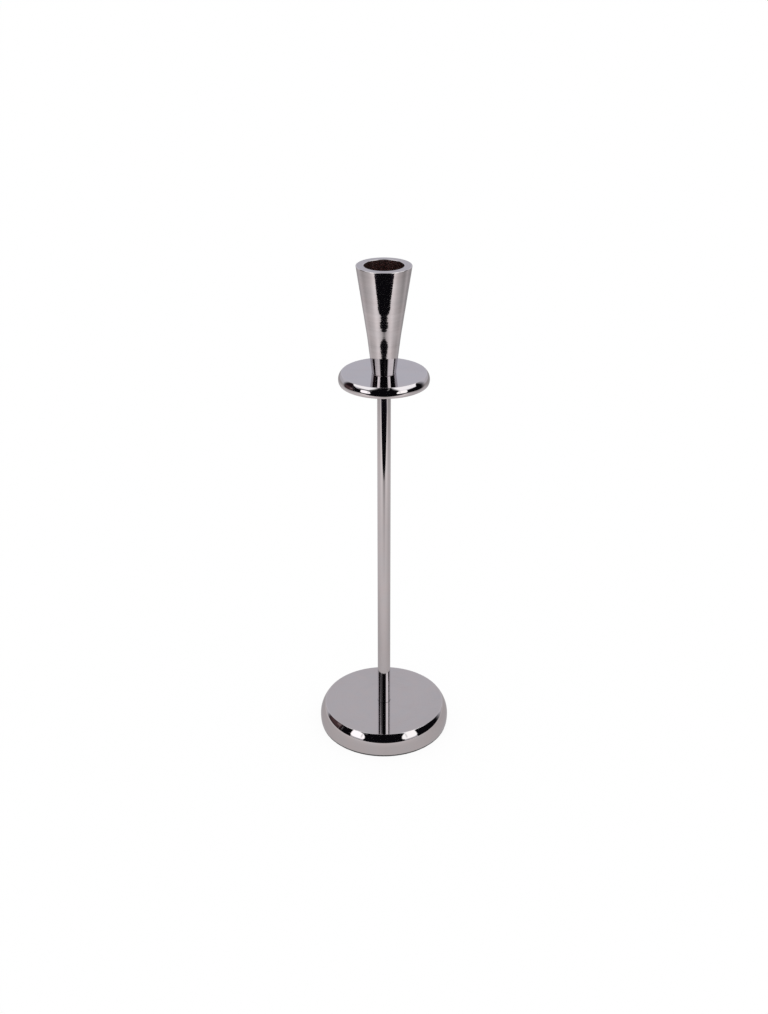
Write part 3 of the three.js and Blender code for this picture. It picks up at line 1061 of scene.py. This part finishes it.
# %% Find places in the studio
def aimed(azimuth, distance, height):
    """A place by its direction from the camera's side of the axis, its distance and its height."""
    turn = math.radians(azimuth)
    return (distance * math.sin(turn), -distance * math.cos(turn), height)


def facing(azimuth, distance, half_width, height):
    """The two ends of a level line that faces the axis."""
    turn = math.radians(azimuth)
    middle = Vector(aimed(azimuth, distance, height))
    sideways = half_width * Vector((math.cos(turn), math.sin(turn), 0))
    return [middle - sideways, middle + sideways]


def raised(azimuths, elevation, distance):
    """Places on a sphere round the pan, by direction and by angle above the level."""
    rise = math.radians(elevation)
    height = pan_high.z + distance * math.sin(rise)
    return [aimed(azimuth, distance * math.cos(rise), height) for azimuth in azimuths]


print("one metre to the front left, level:", [round(value, 2) for value in aimed(-45, 1, 0)])

# %% [markdown]
# The pale table stops a little over a third of a metre in front of the holder. Beyond it the room is
# dark, and upright metal shows that as a dark band. The table could be cut off there, but the same
# sheet is also the white ground. So dark cards lie on it, just clear of its surface. In the cone the
# table's edge isn't quite straight: it comes nearer towards both sides, which two small cards add.

# %% Darken the floor in front of the table
TABLE_FRONT = -377 * MM
FAR = 4000 * MM
FLOOR_LIFT = 0.5 * MM
EDGE_OVERLAP = 5 * MM
TABLE_EDGES = {  # side, and how far across and in front the table ends, in millimetres
    "table_edge_left": (-1, ((110, 377), (190, 369), (270, 364), (350, 368), (430, 377))),
    "table_edge_right": (1, ((110, 377), (190, 368), (270, 361), (350, 354), (430, 347))),
}

near_front = [(x, TABLE_FRONT, FLOOR_LIFT) for x in (-FAR, FAR)]
far_front = [(x, -FAR, FLOOR_LIFT) for x in (-FAR, FAR)]
card("front_floor", [near_front, far_front], dark)
for name, (side, places) in TABLE_EDGES.items():
    edge = [(side * across * MM, -front * MM, FLOOR_LIFT) for across, front in places]
    card(name, [edge, [(x, TABLE_FRONT - EDGE_OVERLAP, FLOOR_LIFT) for x, _, _ in edge]], dark)

# %% [markdown]
# Behind the camera the dark room goes on upwards, nearly to the point overhead. It is one broad curtain,
# widest a third of the way up. The world could be darkened on that side, but its colours only change
# with height. A curtain on a large sphere round the pan has its two sides exactly where metal shows them.

# %% Hang the dark curtain
DARK_FRONT_DISTANCE = 1900 * MM
DARK_FRONT_SIDES = ((-20, 34.5), (7, 34.5), (35, 40), (60, 31), (88, 31))  # rise and half width, degrees

curtain = [raised((-side, 0, side), rise, DARK_FRONT_DISTANCE) for rise, side in DARK_FRONT_SIDES]
card("dark_front", curtain, dark)

# %% [markdown]
# Dark openings stand at both sides of the table, higher towards the back. They are the dark stretches
# towards both ends of the shoulders of the pan and the base. A photographer would hang black velvet
# there. Here they are upright cards along the table's sides, with a slanting top that fades out. Brown
# light leaks in on the left, so there are two hazy patches in front of that wall.

# %% Set up the side walls
TABLE_HALF_WIDTH = 690 * MM
WALL_CRISPNESS = 1.5
HAZE_FADES = (0.35, 0.35, 0.3, 0.4)

dark_brown = glowing("dark_brown_room", (0.012, 0.006, 0.008))
brown_haze = glowing("brown_haze", (0.085, 0.05, 0.052))
brown_patch = glowing("brown_patch", (0.2, 0.15, 0.15))
SIDE_WALLS = {  # side, places along the wall with their heights in millimetres, material, fades
    "left_wall_front": (-1, ((-450, 445), (-185, 535), (-90, 620)), dark, (0, 0.15, 0, 0.05)),
    "left_wall_back": (
        -1, ((-185, 535), (0, 695), (185, 900), (400, 1100)), dark_brown, (0.1, 0.45, 0, 0.05)
    ),
    "right_wall": (
        1, ((-450, 445), (-36, 472), (36, 655), (224, 860), (430, 980)), dark, (0, 0.55, 0, 0.05)
    ),
}
WALL_HAZES = {  # nearest, farthest, lowest and highest, in millimetres, how far off the wall, material
    "wall_haze": (-190, 330, -40, 420, 5, brown_haze),
    "wall_patch": (-130, 10, 120, 330, 10, brown_patch),
}

for name, (side, heights, material, fades) in SIDE_WALLS.items():
    low = [(side * TABLE_HALF_WIDTH, y * MM, 0) for y, _ in heights]
    high = [(side * TABLE_HALF_WIDTH, y * MM, height * MM) for y, height in heights]
    card(name, [low, high], material, fades, WALL_CRISPNESS)
for name, (nearest, farthest, low, high, inset, material) in WALL_HAZES.items():
    x = -TABLE_HALF_WIDTH + inset * MM
    edges = [[(x, nearest * MM, z * MM), (x, farthest * MM, z * MM)] for z in (low, high)]
    card(name, edges, material, HAZE_FADES)

# %% [markdown]
# Two tall soft boxes stand at the front corners. The shoulders of the base and the pan show them as
# bright patches left and right of the dark middle. A lamp would light the object too, and here the
# world does that evenly, so they only glow. Each is cut narrower on its inner side near the top, and a
# fold in its cloth makes an upright strip less bright. On the left, a dark grey gap above the box parts
# it from the one overhead.

# %% Stand the corner boxes
BOX_DISTANCE = 780 * MM
BOX_BOTTOM = 63 * MM
BOX_TOP = 514 * MM
BOX_NARROWING = (0, 0, 0.03, 0.15, 0.4)  # how much of its inner side is missing, from low to high
BOX_FADES = (0.28, 0.28, 0.25, 0.2)
BOX_CRISPNESS = 4
GAP_AZIMUTH = -51
GAP_DISTANCE = 812 * MM
GAP_HALF_WIDTH = 330 * MM
GAP_HEIGHTS = (470 * MM, 730 * MM)
GAP_FADES = (0.3, 0.08, 0, 0.5)
FOLD_AZIMUTHS = {"box_fold_left": -38.3, "box_fold_right": 38.6}
FOLD_DISTANCE = 760 * MM
FOLD_HALF_WIDTH = 35 * MM
FOLD_HEIGHTS = (90 * MM, 480 * MM)
FOLD_FADES = (0.5, 0.5, 0.3, 0.3)

left_white = glowing("left_soft_box", (1.0, 0.985, 1.0), 1.7)
right_white = glowing("right_soft_box", (1.0, 1.0, 0.985), 1.6)
gap_grey = glowing("gap_between_boxes", (0.11, 0.11, 0.115))
fold_white = glowing("box_fold", (1.0, 1.0, 1.0), 1.05)


def corner_box(name, side, azimuth, half_width, material):
    """A tall soft box that faces the holder. Near the top its inner side is cut narrower."""
    edges = []
    inner, outer = (1, 0) if side < 0 else (0, 1)
    for step, narrowing in enumerate(BOX_NARROWING):
        height = BOX_BOTTOM + (BOX_TOP - BOX_BOTTOM) * step / (len(BOX_NARROWING) - 1)
        ends = facing(azimuth, BOX_DISTANCE, half_width, height)
        ends[inner] = ends[inner].lerp(ends[outer], narrowing)
        edges.append(ends)
    card(name, edges, material, BOX_FADES, BOX_CRISPNESS)


corner_box("corner_box_left", side=-1, azimuth=-45.2, half_width=188 * MM, material=left_white)
corner_box("corner_box_right", side=1, azimuth=43.9, half_width=203 * MM, material=right_white)
gap_edges = [facing(GAP_AZIMUTH, GAP_DISTANCE, GAP_HALF_WIDTH, height) for height in GAP_HEIGHTS]
card("gap_left", gap_edges, gap_grey, GAP_FADES)
for name, azimuth in FOLD_AZIMUTHS.items():
    edges = [facing(azimuth, FOLD_DISTANCE, FOLD_HALF_WIDTH, height) for height in FOLD_HEIGHTS]
    card(name, edges, fold_white, FOLD_FADES)

# %% [markdown]
# Two wide soft boxes hang overhead. They make the short highlights on the shoulder of the pan and the
# thin ones along the crease of the base, and the feet of the cone and the stem show them again by way
# of the flats below. The shape of each highlight is the shape of its box, so their inner sides slant
# as those of the real ones must have. A thin grey rail crosses the dark between them as a faint streak.
# Boxes with real depth would look the same, because a mirror only tells directions.

# %% Hang the overhead boxes
OVERHEAD_DISTANCE = 1400 * MM
OVERHEAD_BOXES = {  # inner side as rise and azimuth, further azimuths outwards, in degrees, and fades
    "overhead_box_left": (
        ((27, -36), (42, -20), (58, -16), (74, -13)), (-44, -62, -86, -112), (0.25, 0.05, 0.16, 0.3)
    ),
    "overhead_box_right": (
        ((16, 36), (29, 30), (43, 22), (59, 26), (75, 34)), (46, 62, 86, 112), (0.22, 0.05, 0.14, 0.25)
    ),
}
RAIL_DISTANCE = 1500 * MM
RAIL = (((5, 12), 31), ((12, 20), 50), ((22, 33), 73))  # azimuths of its two sides, and rise, in degrees
RAIL_FADES = (0.5, 0.5, 0.2, 0.1)

top_white = glowing("overhead_soft_box", (0.99, 1.0, 1.01), 1.45)
rail_grey = glowing("rail_streak", (0.28, 0.28, 0.28))

for name, (inner_side, outwards, fades) in OVERHEAD_BOXES.items():
    edges = [raised((inner, *outwards), rise, OVERHEAD_DISTANCE) for rise, inner in inner_side]
    card(name, edges, top_white, fades)
rail_edges = [raised(sides, rise, RAIL_DISTANCE) for sides, rise in RAIL]
card("rail_streak", rail_edges, rail_grey, RAIL_FADES)

# %% [markdown]
# The dark floor isn't quite black. At both sides a violet haze lies on it, and tints the dark that
# upright metal shows left and right of its middle. A bluer floor all along would tint the middle too.
# So two flat cards, just above the floor, put the haze only where it shows.

# %% Lay the violet haze
HAZE_NEAR = -379 * MM
HAZE_FAR = -560 * MM
HAZE_INNER = 220 * MM
HAZE_OUTER = 560 * MM
HAZE_LIFT = 2 * FLOOR_LIFT
VIOLET_FADES = (0.5, 0.5, 0.4, 0.0)

violet_haze = glowing("violet_haze", (0.03, 0.022, 0.042))
for name, sides in (
    ("violet_haze_left", (-HAZE_OUTER, -HAZE_INNER)),
    ("violet_haze_right", (HAZE_INNER, HAZE_OUTER)),
):
    edges = [[(x, y, HAZE_LIFT) for x in sides] for y in (HAZE_FAR, HAZE_NEAR)]
    card(name, edges, violet_haze, VIOLET_FADES)

# %% [markdown]
# The ground is one large sheet. The camera sees it as white paper with a faint shadow round the base.
# A mirror sees the same sheet as the table, which is what the cone, the stem and the low walls of the
# pan and the base show most of. A plain grey would give flat bands there. The real table is lighter
# near the soft boxes and darker at the middle of its front edge, so it is a level with soft spots.

# %% Shade the table
TABLE_SHADES = (  # centre across and along, width across and along, in millimetres, and brightening
    (10, -340, 75, 110, -0.17),
    (10, -360, 170, 45, -0.13),
    (15, -390, 110, 25, -0.2),
    (-120, 35, 70, 90, -0.09),
    (120, 35, 70, 90, -0.08),
    (250, 0, 110, 150, -0.1),
    (-500, 450, 220, 220, 0.16),
    (-585, 120, 110, 190, -0.09),
    (600, 60, 140, 150, -0.13),
    (580, 340, 120, 130, 0.13),
    (0, -150, 130, 80, 0.05),
)
# painted light and shade of the table as mirrors see it: less light farther out, the base's painted
# shadow round the holder, a little less light to the right, and painted pools of light from the corner
# boxes
TABLE_FALL = (400 * MM, 680 * MM, 0.70, 0.46)  # from where to where, and the levels there
BASE_SHADOW = (45 * MM, 180 * MM, 0.85, 1.0)
LEFT_TO_RIGHT = (-600 * MM, 600 * MM, 1.06, 0.94)
BOX_POOLS = (350, -380, 165, 160, 0.42)  # the light that both corner boxes spill, as in the shades


def with_spot(tree, level, place, spot):
    """The level with one soft round spot added, which falls off like a bell over its width."""
    total = 0.0
    for axis, middle, width in zip(place, spot[:2], spot[2:4]):
        offset = calculate(tree, "SUBTRACT", axis, middle * MM)
        offset = calculate(tree, "DIVIDE", offset, width * MM)
        total = calculate(tree, "ADD", calculate(tree, "MULTIPLY", offset, offset), total)
    bell = calculate(tree, "EXPONENT", calculate(tree, "MULTIPLY", total, -1.0))
    return calculate(tree, "ADD", level, calculate(tree, "MULTIPLY", bell, spot[4]))


def table_level(tree):
    """How bright the table is, from place to place."""
    place = place_on_object(tree)
    apart = add_node(tree, "ShaderNodeSeparateXYZ", {0: place})
    across, front = apart.outputs["X"], apart.outputs["Y"]
    distance = add_node(tree, "ShaderNodeVectorMath", {0: place}, operation="LENGTH").outputs["Value"]
    level = spread(tree, distance, *TABLE_FALL)
    level = calculate(tree, "MULTIPLY", level, spread(tree, distance, *BASE_SHADOW))
    level = calculate(tree, "MULTIPLY", level, spread(tree, across, *LEFT_TO_RIGHT))
    level = with_spot(tree, level, (calculate(tree, "ABSOLUTE", across), front), BOX_POOLS)
    for shade in TABLE_SHADES:
        level = with_spot(tree, level, (across, front), shade)
    return level


print("soft spots on the table:", len(TABLE_SHADES) + 1)

# %% [markdown]
# Paper on a real table is lit by the boxes. Lamps would have to be balanced until it came out white.
# Here Light Path tells the two looks apart: mirrors get the shaded table, and everything else gets
# white paper that glows by itself, with a small share of diffuse white that keeps the shadow.

# %% Lay the ground
GROUND_HALF = 6000 * MM
TABLE_TINT = (1.035, 0.985, 0.98, 1)
WHITE = (1, 1, 1, 1)
SHADOW_SHARE = 0.08


def ground_paper():
    """White paper to the camera, and the shaded table to mirrors."""
    material, tree, _ = new_material("ground_paper")
    tree.nodes.clear()
    rays = add_node(tree, "ShaderNodeLightPath")
    white = add_node(tree, "ShaderNodeEmission", {"Color": WHITE, "Strength": 1.0})
    paper = add_node(tree, "ShaderNodeBsdfDiffuse", {"Color": WHITE})
    ways = {"Fac": SHADOW_SHARE, 1: white.outputs[0], 2: paper.outputs[0]}
    seen = add_node(tree, "ShaderNodeMixShader", ways)
    table = add_node(tree, "ShaderNodeEmission", {"Color": TABLE_TINT, "Strength": table_level(tree)})
    ways = {"Fac": rays.outputs["Is Glossy Ray"], 1: seen.outputs[0], 2: table.outputs[0]}
    mirrored = add_node(tree, "ShaderNodeMixShader", ways)
    add_node(tree, "ShaderNodeOutputMaterial", {"Surface": mirrored.outputs[0]})
    return material


ground_mesh = bpy.data.meshes.new("ground")
ground_corners = [(x * GROUND_HALF, y * GROUND_HALF, 0) for x, y in ((-1, -1), (1, -1), (1, 1), (-1, 1))]
ground_mesh.from_pydata(ground_corners, [], [(0, 1, 2, 3)])
ground_mesh.materials.append(ground_paper())
ground = bpy.data.objects.new("ground", ground_mesh)
bpy.context.scene.collection.objects.link(ground)
print("ground:", round(2 * GROUND_HALF), "m across")

# %% [markdown]
# The world is the pale room itself. Lamps could light the holder, but mirrors would show them. The
# world lights it evenly at strength 1, shows white to the camera, and shows mirrors the mauve grey
# walls that the flat tops of the pan and the base reflect. The walls are brightest and bluest at the
# height that the pan mirrors, which is why it looks cooler than the base, and mauve above and below.

# %% Light the room
WALL_STOPS = (  # the height of a direction, from 0 at the level to 1 straight up, and the colour there
    (0.20, (0.640, 0.632, 0.668)),
    (0.27, (0.700, 0.695, 0.745)),
    (0.36, (0.705, 0.710, 0.772)),
    (0.56, (0.644, 0.634, 0.664)),
)


def pale_room():
    """White to the camera and as a light, and mauve grey walls to mirrors."""
    world = bpy.data.worlds.new("pale_room")
    world.use_nodes = True
    tree = world.node_tree
    tree.nodes.clear()
    rays = add_node(tree, "ShaderNodeLightPath")
    white = add_node(tree, "ShaderNodeBackground", {"Color": WHITE, "Strength": 1.0})
    direction = add_node(tree, "ShaderNodeTexCoord").outputs["Generated"]
    height = add_node(tree, "ShaderNodeSeparateXYZ", {0: direction}).outputs["Z"]
    ramp = add_node(tree, "ShaderNodeValToRGB", {"Fac": height})
    stops = ramp.color_ramp.elements
    while len(stops) < len(WALL_STOPS):
        stops.new(0.5)  # anywhere, as its own place and colour are given below
    for stop, (position, colour) in zip(stops, WALL_STOPS):
        stop.position = position
        stop.color = (*colour, 1)
    walls = add_node(tree, "ShaderNodeBackground", {"Color": ramp.outputs["Color"], "Strength": 1.0})
    ways = {"Fac": rays.outputs["Is Glossy Ray"], 1: white.outputs[0], 2: walls.outputs[0]}
    mixed = add_node(tree, "ShaderNodeMixShader", ways)
    add_node(tree, "ShaderNodeOutputWorld", {"Surface": mixed.outputs[0]})
    return world


bpy.context.scene.world = pale_room()
print("world:", bpy.context.scene.world.name)
